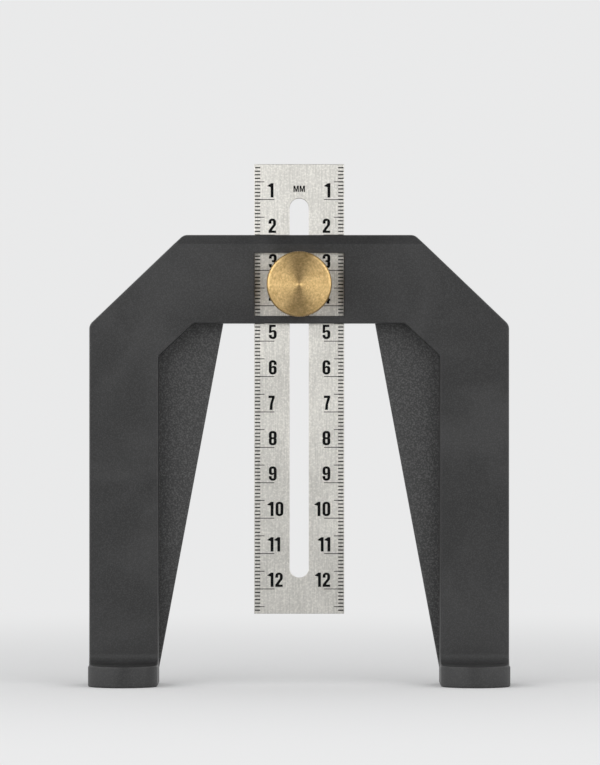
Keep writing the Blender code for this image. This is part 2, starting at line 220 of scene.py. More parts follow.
def turned(axis: Axis, radius: np.ndarray, height: np.ndarray, closed: bool = False) -> Solid:
    """A turned surface: at each row and column, the radius and height stand at the column's even turn.

    Args:
        axis: The axis it is turned about.
        radius: Radii, a grid of rows by columns.
        height: Heights, a grid or one column of them.
        closed: Whether the last row joins the first, as on a ring.

    Returns:
        The solid, whose rows of no radius merge into poles.
    """
    rows, columns = radius.shape
    angle = np.broadcast_to(np.arange(columns) * (2 * math.pi / columns), radius.shape)
    points = axis.points(radius, angle, np.broadcast_to(height, radius.shape))
    return Solid(points.reshape(-1, 3), grid_faces(rows, columns, closed))


def rounded(corners: np.ndarray, steps: int = 6, closed: bool = True) -> np.ndarray:
    """An outline whose corners are arcs: each runs between the points where its circle touches the two sides.

    The circle's centre lies on the line that halves the corner, at its radius divided by the sine of half the
    corner's angle. It touches each side at its radius divided by the tangent of that half angle.

    Args:
        corners: Rows of (x, y, radius).
        steps: Stretches in each arc.
        closed: Whether the outline closes on itself. Where it doesn't, its two ends stay sharp.

    Returns:
        Rows of (x, y).
    """
    places, radii = corners[:, :2], corners[:, 2:].copy()
    if not closed:
        radii[[0, -1]] = 0
    before, after = np.roll(places, 1, axis=0) - places, np.roll(places, -1, axis=0) - places
    before /= np.linalg.norm(before, axis=1, keepdims=True)
    after /= np.linalg.norm(after, axis=1, keepdims=True)
    half = np.arccos(np.clip((before * after).sum(axis=1, keepdims=True), -1, 1)) / 2
    inwards = (before + after) / np.linalg.norm(before + after, axis=1, keepdims=True)
    centre = places + inwards * radii / np.sin(half)
    start, end = (places + side * radii / np.tan(half) - centre for side in (before, after))
    first, last = (np.arctan2(spoke[:, 1:], spoke[:, :1]) for spoke in (start, end))
    sweep = (last - first + math.pi) % (2 * math.pi) - math.pi
    turn = first + sweep * np.linspace(0, 1, steps + 1)
    points = centre[:, None] + radii[:, None] * np.stack([np.cos(turn), np.sin(turn)], axis=2)
    return points[(radii > 0) | (np.arange(steps + 1) == 0)]


def prism(outlines: list[np.ndarray], thickness: float) -> Solid:
    """A flat solid in the XZ plane, centred on y = 0, from an outline and the holes in it.

    A curve in millimetres is filled and thickened, and its mesh is turned upright and brought to metres.

    Args:
        outlines: Rows of (x, z) in metres.
        thickness: Its size along Y.

    Returns:
        The solid, in triangles.
    """
    curve = bpy.data.curves.new("outline", "CURVE")
    curve.dimensions = "2D"
    curve.fill_mode = "BOTH"
    curve.extrude = thickness / MM / 2
    for outline in outlines:
        spline = curve.splines.new("POLY")
        spline.points.add(len(outline) - 1)
        flat = np.zeros((len(outline), 4))
        flat[:, :2], flat[:, 3] = outline / MM, 1
        spline.points.foreach_set("co", flat.ravel())
        spline.use_cyclic_u = True
    drawn = bpy.data.objects.new("outline", curve)
    bpy.context.scene.collection.objects.link(drawn)
    bpy.context.view_layer.update()
    mesh = bpy.data.meshes.new_from_object(drawn.evaluated_get(bpy.context.evaluated_depsgraph_get()))
    bpy.data.objects.remove(drawn, do_unlink=True)
    bpy.data.curves.remove(curve)
    shape = bmesh.new()
    shape.from_mesh(mesh)
    bmesh.ops.remove_doubles(shape, verts=shape.verts, dist=MERGE / MM)
    bmesh.ops.triangulate(shape, faces=shape.faces)
    shape.to_mesh(mesh)
    shape.free()
    flat = np.empty(len(mesh.vertices) * 3)
    mesh.vertices.foreach_get("co", flat)
    corners = np.empty(len(mesh.polygons) * 3, dtype=np.int32)
    mesh.polygons.foreach_get("vertices", corners)
    bpy.data.meshes.remove(mesh)
    across, up, out = (flat.reshape(-1, 3) * MM).T
    return Solid(np.stack([across, -out, up], axis=1), corners.reshape(-1, 3))


def boxes(centres: np.ndarray, sizes: np.ndarray) -> Solid:
    """Plain boxes: the eight corners of a unit box, times each size, at each centre.

    Args:
        centres: Rows of x, y and z.
        sizes: Each box's lengths along x, y and z.

    Returns:
        All the boxes as one solid.
    """
    signs = np.array([[x, y, z] for x in (-0.5, 0.5) for y in (-0.5, 0.5) for z in (-0.5, 0.5)])
    quads = np.array([[0, 1, 3, 2], [4, 6, 7, 5], [0, 4, 5, 1], [2, 3, 7, 6], [0, 2, 6, 4], [1, 5, 7, 3]])
    points = (centres[:, None] + signs[None] * sizes[:, None]).reshape(-1, 3)
    faces = (quads[None] + 8 * np.arange(len(centres))[:, None, None]).reshape(-1, 4)
    return Solid(points, faces)


# Finishes


class Nodes:
    """Adds nodes to one tree, each with its settings and inputs in one call."""

    def __init__(self, tree: bpy.types.NodeTree) -> None:
        """Starts on an empty tree."""
        self.tree = tree
        tree.nodes.clear()

    def add(self, kind: str, inputs: dict | None = None, **settings: object) -> bpy.types.Node:
        """A new node.

        Args:
            kind: The node's type name.
            inputs: What each input takes, by its name or number.
            **settings: The node's own properties.

        Returns:
            The node.
        """
        node = self.tree.nodes.new(kind)
        for key, value in settings.items():
            setattr(node, key, value)
        self.feed(node, inputs or {})
        return node

    def feed(self, node: bpy.types.Node, inputs: dict) -> None:
        """Gives a node's inputs a value each, or links another node's output to them.

        Args:
            node: The node.
            inputs: What each input takes, by its name or number.
        """
        for key, value in inputs.items():
            if isinstance(value, Socket):
                self.tree.links.new(value, node.inputs[key])
            else:
                node.inputs[key].default_value = value

    def math(self, operation: str, *values: Value, clamp: bool = False) -> Socket:
        """The result of a Math node."""
        inputs = dict(enumerate(values))
        return self.add("ShaderNodeMath", inputs, operation=operation, use_clamp=clamp).outputs[0]

    def vector(self, operation: str, *values: Socket | Triple, output: str = "Vector") -> Socket:
        """The result of a Vector Math node."""
        inputs = dict(enumerate(values))
        return self.add("ShaderNodeVectorMath", inputs, operation=operation).outputs[output]

    def split(self, vector: Socket) -> bpy.types.NodeOutputs:
        """A vector's X, Y and Z."""
        return self.add("ShaderNodeSeparateXYZ", {"Vector": vector}).outputs

    def vector_of(self, **parts: Value) -> Socket:
        """A vector of the given X, Y and Z, and none where a part isn't given."""
        return self.add("ShaderNodeCombineXYZ", parts).outputs[0]

    def ramp(self, value: Value, low: float, high: float, start: float = 0.0, end: float = 1.0) -> Socket:
        """A value carried smoothly from one range to another, and held at its ends."""
        inputs = {"Value": value, "From Min": low, "From Max": high, "To Min": start, "To Max": end}
        return self.add("ShaderNodeMapRange", inputs, interpolation_type="SMOOTHSTEP").outputs["Result"]

    def weighed(self, *terms: tuple[Socket, float]) -> Socket:
        """The sum of masks, each times its weight.

        Args:
            *terms: A mask and its weight each.

        Returns:
            The sum.
        """
        mask, weight = terms[0]
        total = self.math("MULTIPLY", mask, weight)
        for mask, weight in terms[1:]:
            total = self.math("MULTIPLY_ADD", mask, weight, total)
        return total

    def mixed(self, share: Socket, first: Value, second: Value) -> Socket:
        """Two numbers mixed by a share."""
        return self.add("ShaderNodeMix", {"Factor": share, "A": first, "B": second}).outputs["Result"]

    def colours(self, share: Socket, first: Socket | Triple, second: Socket | Triple) -> Socket:
        """Two colours mixed by a share.

        Args:
            share: How much of the second colour there is.
            first: Red, green and blue, or an output.
            second: Red, green and blue, or an output.

        Returns:
            The mixed colour.
        """
        inputs = {"Factor": share}
        for key, colour in ((6, first), (7, second)):
            inputs[key] = colour if isinstance(colour, Socket) else (*colour, 1.0)
        return self.add("ShaderNodeMix", inputs, data_type="RGBA").outputs[2]

    def object_place(self) -> Socket:
        """Object coordinates, in metres."""
        return self.add("ShaderNodeTexCoord").outputs["Object"]

    def bump(self, shader: bpy.types.Node, height: Socket, depth: float) -> None:
        """Feeds a height, from none to one, to the shader's normal, as a relief this deep in metres."""
        relief = self.add("ShaderNodeBump", {"Height": height, "Distance": depth, "Strength": 1.0})
        self.feed(shader, {"Normal": relief.outputs["Normal"]})


def new_group(name: str, inputs: dict[str, str], outputs: list[str]) -> tuple[Nodes, dict, bpy.types.Node]:
    """A new shader node group with named sockets.

    Args:
        name: The group's name.
        inputs: Each input's name, and Vector or Float for its kind.
        outputs: Each output's name. All are numbers.

    Returns:
        Its nodes, its inputs by name, and its output node.
    """
    tree = bpy.data.node_groups.new(name, "ShaderNodeTree")
    for socket, kind in inputs.items():
        tree.interface.new_socket(socket, in_out="INPUT", socket_type=f"NodeSocket{kind}")
    for socket in outputs:
        tree.interface.new_socket(socket, in_out="OUTPUT", socket_type="NodeSocketFloat")
    nodes = Nodes(tree)
    return nodes, nodes.add("NodeGroupInput").outputs, nodes.add("NodeGroupOutput")


class Effects:
    """The effects that more than one finish uses, each built once as a node group."""

    GRAIN_NOISE = {"Detail": 6.0, "Roughness": 0.78}
    GRAIN_CELLS = 0.5
    GRAIN_HIGH_SPOTS = (0.22, 0.46)
    STREAK_NOISE = {"Scale": 1.0, "Detail": 4.0, "Roughness": 0.65}
    STREAK_MIDDLE = 0.5
    PATCH_NOISE = {"Detail": 5.0, "Distortion": 0.6}
    PATCH_RANGE = (0.35, 0.65)

    def __init__(self) -> None:
        """Builds the groups."""
        self._grain = self._build_grain()
        self._streaks = self._build_streaks()
        self._handling = self._build_handling()

    def _build_grain(self) -> bpy.types.NodeTree:
        """Fine pimples on two scales: soft noise, less a share of the distance to the nearest of many points.

        Returns:
            The group, which gives that height and a mask of its high spots.
        """
        sockets = {"Vector": "Vector", "Size": "Float"}
        nodes, given, made = new_group("fine_grain", sockets, ["Height", "High spots"])
        inputs = {"Vector": given["Vector"], "Scale": nodes.math("DIVIDE", 1.0, given["Size"])}
        noise = nodes.add("ShaderNodeTexNoise", inputs | self.GRAIN_NOISE).outputs["Fac"]
        cells = nodes.add("ShaderNodeTexVoronoi", inputs, feature="SMOOTH_F1").outputs["Distance"]
        height = nodes.math("SUBTRACT", noise, nodes.math("MULTIPLY", cells, self.GRAIN_CELLS))
        nodes.feed(made, {"Height": height, "High spots": nodes.ramp(height, *self.GRAIN_HIGH_SPOTS)})
        return nodes.tree

    def _build_streaks(self) -> bpy.types.NodeTree:
        """Long fine scratches: noise in coordinates that are stretched most across the scratches.

        Returns:
            The group, which gives the scratches between none and one.
        """
        sockets = {"Vector": "Vector", "Stretch": "Vector", "Contrast": "Float"}
        nodes, given, made = new_group("streaks", sockets, ["Streaks"])
        place = nodes.vector("MULTIPLY", given["Vector"], given["Stretch"])
        noise = nodes.add("ShaderNodeTexNoise", {"Vector": place} | self.STREAK_NOISE).outputs["Fac"]
        middle = self.STREAK_MIDDLE
        centred = nodes.math("SUBTRACT", noise, middle)
        spread = nodes.math("MULTIPLY_ADD", centred, given["Contrast"], middle, clamp=True)
        nodes.feed(made, {"Streaks": spread})
        return nodes.tree

    def _build_handling(self) -> bpy.types.NodeTree:
        """Broad soft patches, as from handling: distorted noise, with its middle range spread out.

        Returns:
            The group, which gives the patches between none and one.
        """
        nodes, given, made = new_group("handling", {"Vector": "Vector", "Size": "Float"}, ["Patches"])
        inputs = {"Vector": given["Vector"], "Scale": nodes.math("DIVIDE", 1.0, given["Size"])}
        noise = nodes.add("ShaderNodeTexNoise", inputs | self.PATCH_NOISE).outputs["Fac"]
        nodes.feed(made, {"Patches": nodes.ramp(noise, *self.PATCH_RANGE)})
        return nodes.tree

    def grain(self, nodes: Nodes, place: Socket, size: float) -> bpy.types.NodeOutputs:
        """Pimples about this size: their height and their high spots."""
        return nodes.add("ShaderNodeGroup", {"Vector": place, "Size": size}, node_tree=self._grain).outputs

    def streaks(self, nodes: Nodes, place: Socket, stretch: Triple, contrast: float) -> Socket:
        """Scratches, in the place times the stretch."""
        inputs = {"Vector": place, "Stretch": stretch, "Contrast": contrast}
        return nodes.add("ShaderNodeGroup", inputs, node_tree=self._streaks).outputs["Streaks"]

    def patches(self, nodes: Nodes, place: Socket, size: float) -> Socket:
        """Soft patches about this size."""
        inputs = {"Vector": place, "Size": size}
        return nodes.add("ShaderNodeGroup", inputs, node_tree=self._handling).outputs["Patches"]


def principled(name: str, fixed: dict) -> tuple[bpy.types.Material, Nodes, bpy.types.Node]:
    """A new material with a Principled shader.

    Args:
        name: The material's name.
        fixed: Values set on the shader's own sockets.

    Returns:
        The material, its nodes and the shader.
    """
    material = bpy.data.materials.new(name)
    material.use_nodes = True
    nodes = Nodes(material.node_tree)
    shader = nodes.add("ShaderNodeBsdfPrincipled", fixed)
    nodes.add("ShaderNodeOutputMaterial", {"Surface": shader.outputs["BSDF"]})
    return material, nodes, shader


def shades(colour: Triple, *shares: float) -> list[Triple]:
    """A colour times each share."""
    return [tuple(part * share for part in colour) for share in shares]


@dataclass(frozen=True)
class MouldedPlastic:
    """Black moulded plastic: satin in front, and grained where the tool was left rough, behind a depth."""

    effects: Effects
    satin: Triple = (0.0288, 0.0288, 0.0290)
    satin_shares: tuple[float, float] = (0.68, 1.60)
    satin_patches: float = 0.4
    satin_spots: float = 0.6
    satin_grain: float = 0.36 * MM
    satin_roughness: float = 0.40
    rubbed_roughness: float = 0.47
    satin_relief: float = 0.30
    grained: Triple = (0.034, 0.034, 0.034)
    grained_shares: tuple[float, float] = (1.0, 2.9)
    grained_spots: float = 0.8
    coarse_grain: float = 0.44 * MM
    grained_roughness: float = 0.58
    specular: float = 0.45
    grain_depth: float = 0.030 * MM
    patch: float = 26 * MM
    behind: float = 9.3 * MM
    blend: float = 0.2 * MM

    def build(self) -> bpy.types.Material:
        """Makes the material.

        Returns:
            The material.
        """
        material, nodes, shader = principled("black_moulded_plastic", {"Specular IOR Level": self.specular})
        place = nodes.object_place()
        rough = nodes.ramp(nodes.split(place)["Y"], self.behind - self.blend, self.behind)
        fine = self.effects.grain(nodes, place, self.satin_grain)
        coarse = self.effects.grain(nodes, place, self.coarse_grain)
        patches = self.effects.patches(nodes, place, self.patch)
        share = nodes.weighed((fine["High spots"], self.satin_spots), (patches, self.satin_patches))
        satin = nodes.colours(share, *shades(self.satin, *self.satin_shares))
        spots = nodes.weighed((coarse["High spots"], self.grained_spots))
        grained = nodes.colours(spots, *shades(self.grained, *self.grained_shares))
        gloss = nodes.ramp(patches, 0.0, 1.0, self.satin_roughness, self.rubbed_roughness)
        roughness = nodes.mixed(rough, gloss, self.grained_roughness)
        nodes.feed(shader, {"Base Color": nodes.colours(rough, satin, grained), "Roughness": roughness})
        gentle = nodes.weighed((fine["Height"], self.satin_relief))
        nodes.bump(shader, nodes.mixed(rough, gentle, coarse["Height"]), self.grain_depth)
        return material


@dataclass(frozen=True)
class BrushedSteel:
    """Satin steel with scratches along Z, which spread its highlights across X."""

    effects: Effects
    bright: Triple = (0.85, 0.83, 0.775)
    dull: Triple = (0.50, 0.49, 0.46)
    roughness: float = 0.42
    rubbed_roughness: float = 0.45
    spread: float = 0.80
    stretch: Triple = (3200.0, 3200.0, 110.0)
    contrast: float = 3.2
    scratch_depth: float = 0.004 * MM
    frost: float = 0.55 * MM
    patch: float = 22 * MM
    weights: Triple = (0.42, 0.38, 0.2)

    def build(self) -> bpy.types.Material:
        """Makes the material.

        Returns:
            The material.
        """
        material, nodes, shader = principled("brushed_steel", {"Metallic": 1.0, "Anisotropic": self.spread})
        place = nodes.object_place()
        streaks = self.effects.streaks(nodes, place, self.stretch, self.contrast)
        frost = self.effects.grain(nodes, place, self.frost)["High spots"]
        patches = self.effects.patches(nodes, place, self.patch)
        share = nodes.weighed(*zip((streaks, frost, patches), self.weights))
        colour = nodes.colours(share, self.dull, self.bright)
        roughness = nodes.ramp(patches, 0.0, 1.0, self.roughness, self.rubbed_roughness)
        nodes.feed(shader, {"Base Color": colour, "Roughness": roughness, "Tangent": nodes.vector_of(X=1.0)})
        nodes.bump(shader, streaks, self.scratch_depth)
        return material


@dataclass(frozen=True)
class PlatedMetal:
    """Plated metal: a smooth bright coat with a faint tint, broad dull patches and fine pits."""

    effects: Effects
    name: str
    colour: Triple
    roughness: float
    dulling: float = 0.86
    dull_roughness: float = 0.12
    patch: float = 3 * MM
    pits: float = 0.18 * MM
    pit_depth: float = 0.004 * MM

    def build(self) -> bpy.types.Material:
        """Makes the material.

        Returns:
            The material.
        """
        material, nodes, shader = principled(self.name, {"Metallic": 1.0})
        place = nodes.object_place()
        patches = self.effects.patches(nodes, place, self.patch)
        colour = nodes.colours(patches, *shades(self.colour, 1.0, self.dulling))
        roughness = nodes.ramp(patches, 0.0, 1.0, self.roughness, self.roughness + self.dull_roughness)
        nodes.feed(shader, {"Base Color": colour, "Roughness": roughness})
        nodes.bump(shader, self.effects.grain(nodes, place, self.pits)["Height"], self.pit_depth)
        return material


@dataclass(frozen=True)
class TurnedBrass:
    """Brass off the lathe: rings and short arcs round the clamp's axis, and painted shade in the knurl valleys.

    The rings spread its highlights outwards.
    """

    effects: Effects
    centre: Triple
    bright: Triple = (0.93, 0.675, 0.335)
    tarnished: Triple = (0.45, 0.285, 0.10)
    # Painted shade in the knurl's valleys, and how much of it lies at a valley's bottom.
    valley: Triple = (0.30, 0.19, 0.07)
    valley_share: float = 0.75
    roughness: float = 0.37
    rubbed_roughness: float = 0.39
    spread: float = 0.85
    ring: float = 0.16 * MM
    ring_contrast: float = 2.0
    ring_depth: float = 0.003 * MM
    ring_weight: float = 0.14
    spokes_round: float = 34.0
    spoke_contrast: float = 3.2
    spoke_weight: float = 0.14
    arc_width: float = 0.44 * MM
    arcs_round: float = 7.0
    arc_contrast: float = 4.0
    arc_weight: float = 0.42
    nick: float = 0.50 * MM
    nick_weight: float = 0.22
    patch: float = 2.2 * MM
    patch_weight: float = 0.10

    def build(self) -> bpy.types.Material:
        """Makes the material.

        The outward direction is the place less its part along Y, made one long. Rings are noise along the
        distance from the axis, spokes are noise in the outward direction, and arcs are noise in both at once.

        Returns:
            The material.
        """
        material, nodes, shader = principled("turned_brass", {"Metallic": 1.0, "Anisotropic": self.spread})
        place = nodes.vector("SUBTRACT", nodes.object_place(), self.centre)
        flat = nodes.vector("MULTIPLY", place, (1.0, 0.0, 1.0))
        distance = nodes.vector("LENGTH", flat, output="Value")
        outward = nodes.vector("NORMALIZE", flat)
        rings = nodes.vector_of(X=nodes.math("DIVIDE", distance, self.ring))
        grooves = self.effects.streaks(nodes, rings, (1.0, 1.0, 1.0), self.ring_contrast)
        spokes = self.effects.streaks(nodes, outward, (self.spokes_round,) * 3, self.spoke_contrast)
        bearing = nodes.split(outward)
        around = [nodes.math("MULTIPLY", bearing[way], self.arcs_round) for way in "XZ"]
        curled = nodes.vector_of(X=nodes.math("DIVIDE", distance, self.arc_width), Y=around[0], Z=around[1])
        arcs = self.effects.streaks(nodes, curled, (1.0, 1.0, 1.0), self.arc_contrast)
        nicks = self.effects.grain(nodes, place, self.nick)["High spots"]
        patches = self.effects.patches(nodes, place, self.patch)
        share = nodes.weighed(
            (patches, self.patch_weight),
            (grooves, self.ring_weight),
            (spokes, self.spoke_weight),
            (arcs, self.arc_weight),
            (nicks, self.nick_weight),
        )
        unshaded_brass = nodes.colours(share, self.tarnished, self.bright)
        # Painted shade: the brass darkens towards the knurl's valleys by how deep each point lies.
        depth = nodes.add("ShaderNodeAttribute", attribute_name=Knob.VALLEY).outputs["Fac"]
        colour = nodes.colours(nodes.weighed((depth, self.valley_share)), unshaded_brass, self.valley)
        roughness = nodes.ramp(patches, 0.0, 1.0, self.roughness, self.rubbed_roughness)
        turn = {"vector_type": "VECTOR", "convert_from": "OBJECT", "convert_to": "WORLD"}
        tangent = nodes.add("ShaderNodeVectorTransform", {"Vector": outward}, **turn).outputs["Vector"]
        nodes.feed(shader, {"Base Color": colour, "Roughness": roughness, "Tangent": tangent})
        nodes.bump(shader, grooves, self.ring_depth)
        return material


@dataclass(frozen=True)
class Ink:
    """Matt black ink, for the rule's marks and numbers."""

    effects: Effects
    black: Triple = (0.0035, 0.0035, 0.004)
    worn: Triple = (0.012, 0.0118, 0.0115)
    specular: float = 0.06
    roughness: float = 0.55
    worn_roughness: float = 0.75
    grain: float = 0.12 * MM
    grain_depth: float = 0.004 * MM

    def build(self) -> bpy.types.Material:
        """Makes the material.

        Returns:
            The material.
        """
        material, nodes, shader = principled("black_ink", {"Specular IOR Level": self.specular})
        grain = self.effects.grain(nodes, nodes.object_place(), self.grain)
        colour = nodes.colours(grain["High spots"], self.black, self.worn)
        roughness = nodes.ramp(grain["High spots"], 0.0, 1.0, self.roughness, self.worn_roughness)
        nodes.feed(shader, {"Base Color": colour, "Roughness": roughness})
        nodes.bump(shader, grain["Height"], self.grain_depth)
        return material


# The gauge's pieces


@dataclass
class Arch:
    """The moulded arch: the CAD solid, merged, with its flats made whole and its edges softened."""

    finish: MouldedPlastic
    soft_edge: float = 0.12 * MM
    edge_segments: int = 2
    merge: float = 0.002 * MM
    flat: float = math.radians(0.6)
    sharp: float = math.radians(35)

    def build(self) -> bpy.types.Object:
        """Makes the piece, in place of the CAD node.

        Returns:
            The arch.
        """
        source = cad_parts["frame_body"]
        mesh = source.data.copy()
        mesh.name = "arch"
        shape = bmesh.new()
        shape.from_mesh(mesh)
        bmesh.ops.remove_doubles(shape, verts=shape.verts, dist=self.merge)
        bmesh.ops.dissolve_limit(shape, angle_limit=self.flat, verts=shape.verts, edges=shape.edges)
        shape.to_mesh(mesh)
        shape.free()
        made = bpy.data.objects.new("arch", mesh)
        bpy.context.scene.collection.objects.link(made)
        mesh.materials.clear()
        mesh.materials.append(self.finish.build())
        mesh.shade_smooth()
        edges = made.modifiers.new("soft edges", "BEVEL")
        edges.width = self.soft_edge
        edges.segments = self.edge_segments
        edges.limit_method = "ANGLE"
        edges.angle_limit = self.sharp
        flatten_flats(made)
        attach(made, "frame")
        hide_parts("frame_body")
        return made


@dataclass
class Thread:
    """The clamp's right-hand thread, whose radius depends on the turn and on the place along the axis."""

    pitch: float = 0.8 * MM
    crest: float = 2.4 * MM
    root: float = 1.95 * MM
    clearance: float = 0.12 * MM
    steepness: float = 1.3
    root_share: float = 0.15

    def radius(self, angle: np.ndarray, along: np.ndarray) -> np.ndarray:
        """A V with a blunt crest and root: it rises and falls once a pitch, and moves one pitch on each turn.

        Args:
            angle: The turn about the axis, from +X towards +Z.
            along: The distance along the axis.

        Returns:
            The radius at each place.
        """
        share = (along / self.pitch - angle / (2 * math.pi)) % 1
        wave = 1 - np.abs(2 * share - 1)
        return self.root + (self.crest - self.root) * np.clip(self.steepness * wave - self.root_share, 0, 1)


@dataclass
class Knob:
    """The brass knob: a turned front with a centre mark, a round edge, a knurled rim and a threaded bore."""

    finish: TurnedBrass
    thread: Thread
    shoulder_radius: float = 6.0 * MM
    shoulder_length: float = 1.8 * MM
    shoulder_break: float = 0.3 * MM
    front_round: float = 0.75 * MM
    rear_bevel: float = 0.4 * MM
    knurl_depth: float = 0.32 * MM
    knurl_teeth: int = 60
    knurl_pitch: float = 1.65 * MM
    knurl_steepness: float = 1.25
    valley_margin: float = 0.01
    mark_radius: float = 0.6 * MM
    mark_depth: float = 0.15 * MM
    bore_depth: float = 7.5 * MM
    drill_tip: float = 0.8 * MM
    columns: int = 720
    mark_rows: int = 5
    face_rows: int = 10
    edge_rows: int = 13
    rim_rows: int = 56
    bore_rows: int = 44
    sharp: float = math.radians(40)
    box: NodeBox = field(init=False)

    VALLEY = "knurl_valley_shade"

    def __post_init__(self) -> None:
        """Reads the CAD knob's box."""
        self.box = NodeBox.of("clamp_knob")

    @property
    def radius(self) -> float:
        """The radius over the knurl's tips."""
        return self.box.size[0] / 2

    @property
    def root(self) -> float:
        """The radius at the knurl's valleys."""
        return self.radius - self.knurl_depth

    def build(self) -> bpy.types.Object:
        """Makes the piece: rows run from the front's middle over the rim and the shoulder into the bore.

        Returns:
            The knob.
        """
        length = self.box.size[1]
        seat = np.array([self.box.centre[0], self.box.high[1], self.box.centre[2]])
        axis = Axis(seat, (1, 0, 0), (0, 0, 1), (0, -1, 0))
        angle = np.arange(self.columns)[None] * (2 * math.pi / self.columns)
        edge = length - self.front_round * (1 - np.cos(np.linspace(0, math.pi / 2, self.edge_rows)))
        side = np.linspace(length - self.front_round, self.shoulder_length, self.rim_rows)
        rim = np.concatenate([edge, side[1:]])[:, None]
        bore = np.linspace(0.0, self.bore_depth, self.bore_rows)[:, None]
        plain = np.ones_like(angle)
        front, back = self.front(length), self.back()
        end = np.array([[0.0, self.bore_depth + self.drill_tip]])
        bored = self.thread.radius(angle, bore - seat[1]) + self.thread.clearance
        knurled = self.rim(angle, rim, length)
        radii = [front[:, :1] * plain, knurled, back[:, :1] * plain, bored, end[:, :1] * plain]
        heights = [front[:, 1:], rim, back[:, 1:], bore, end[:, 1:]]
        made = turned(axis, np.concatenate(radii), np.concatenate(heights)).build("knob", self.sharp)
        # Painted shade: writes how deep each point lies in the knurl, which darkens the brass there.
        self.shade_valleys(made)
        made.data.materials.append(self.finish.build())
        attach(made, "knob")
        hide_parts("clamp_knob")
        return made

    def front(self, length: float) -> np.ndarray:
        """The front's profile: a bowl whose depth falls off with the square of the radius, then a flat.

        Args:
            length: Height of the knob's front.

        Returns:
            Rows of (radius, height), from the middle outwards.
        """
        share = np.linspace(0, 1, self.mark_rows)
        bowl = np.stack([share * self.mark_radius, length - self.mark_depth * (1 - share**2)], axis=1)
        flat = np.linspace(self.mark_radius, self.root - self.front_round, self.face_rows)[1:-1]
        return np.concatenate([bowl, np.stack([flat, np.full_like(flat, length)], axis=1)])

    def rim(self, angle: np.ndarray, height: np.ndarray, length: float) -> np.ndarray:
        """The rim's radius: two crossing families of V grooves leave blunt diamonds, and its ends are cut.

        Each family rises and falls once a tooth round the rim. It moves on by a tooth for each pitch along
        it, one family to the left and one to the right. The lower of the two gives the diamonds. A quarter of
        an ellipse trims the front end, and a slope the rear one.

        Args:
            angle: Turns, as a row.
            height: Heights, as a column.
            length: Height of the knob's front.

        Returns:
            The radii, a grid.
        """
        turns, climb = angle * (self.knurl_teeth / (2 * math.pi)), height / self.knurl_pitch
        rises = [1 - np.abs(2 * ((turns + way * climb) % 1) - 1) for way in (1, -1)]
        knurled = self.root + self.knurl_depth * np.clip(self.knurl_steepness * np.minimum(*rises), 0, 1)
        inner = self.root - self.front_round
        drop = np.clip((length - height) / self.front_round, 0, 1)
        front_edge = inner + (self.radius - inner) * np.sqrt(1 - (1 - drop) ** 2)
        rear_edge = self.root - self.rear_bevel + (height - self.shoulder_length)
        return np.minimum(knurled, np.minimum(front_edge, rear_edge))

    def back(self) -> np.ndarray:
        """The shoulder's profile: its side, and then a slope that breaks its edge.

        Returns:
            Rows of (radius, height).
        """
        radius, broken = self.shoulder_radius, self.shoulder_break
        return np.array([(radius, self.shoulder_length), (radius, broken), (radius - broken, 0.0)])

    def shade_valleys(self, knob: bpy.types.Object) -> None:
        """Writes how deep in the knurl each point lies, from none on the tips to one in the valleys, for
        painted shade.

        Args:
            knob: The finished knob, on whose edges, face and shoulder the depth is none.
        """
        places = np.empty(len(knob.data.vertices) * 3)
        knob.data.vertices.foreach_get("co", places)
        across, _, up = (places.reshape(-1, 3) - self.box.centre).T
        rise = (np.hypot(across, up) - self.root) / self.knurl_depth
        depth = np.where(rise > -self.valley_margin, np.clip(1 - rise, 0, 1), 0.0)
        knob.data.attributes.new(self.VALLEY, "FLOAT", "POINT").data.foreach_set("value", depth)


@dataclass
class Bolt:
    """The captured hex bolt: a bevelled head, a threaded shank and a bevelled tip."""

    finish: PlatedMetal
    thread: Thread
    flats: float = 8.0 * MM
    head_height: float = 3.5 * MM
    face_radius: float = 3.65 * MM
    head_slope: float = math.tan(math.radians(30))
    point: float = 0.5 * MM
    plain: float = 0.9 * MM
    columns: int = 96
    top_rows: int = 9
    shank_rows: int = 150
    sharp: float = math.radians(28)

    def build(self) -> bpy.types.Object:
        """Makes the piece: rows run from the head's middle over its rim, then down the shank to the tip.

        The head's radius is half its flats divided by the cosine of the turn from the nearest flat's middle.
        Outside its round face, the head's top falls away on a cone.

        Returns:
            The bolt.
        """
        box = NodeBox.of("clamp_bolt")
        seat_y = box.high[1] - self.head_height
        length = seat_y - box.low[1]
        axis = Axis(np.array([box.centre[0], seat_y, box.centre[2]]), (0, 0, 1), (1, 0, 0), (0, 1, 0))
        angle = np.arange(self.columns) * (2 * math.pi / self.columns)
        hexagon = self.flats / 2 / np.cos(angle % (math.pi / 3) - math.pi / 6)
        out = np.linspace(0, 1, self.top_rows)[:, None]
        face = out * np.full(self.columns, self.face_radius)
        top_radius = np.concatenate([face, self.face_radius + out[1:] * (hexagon - self.face_radius)])
        top_height = self.head_height - self.head_slope * np.maximum(top_radius - self.face_radius, 0)
        along = np.linspace(0, -length, self.shank_rows)[:, None]
        shank = self.thread.radius(math.pi / 2 - angle, -(seat_y + along))
        plain = np.clip((-along - self.plain) / self.thread.pitch, 0, 1)
        shank = self.thread.crest + plain * (shank - self.thread.crest)
        shank = np.minimum(shank, self.thread.crest - self.point + (along + length))
        radii = np.concatenate([top_radius, hexagon[None], shank, np.zeros((1, self.columns))])
        seat, tip = np.zeros((1, self.columns)), np.full((1, self.columns), -length)
        heights = np.concatenate([top_height, seat, np.broadcast_to(along, shank.shape), tip])
        made = turned(axis, radii, heights).build("bolt", self.sharp)
        made.data.materials.append(self.finish.build())
        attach(made, "frame")
        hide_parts("clamp_bolt")
        return made


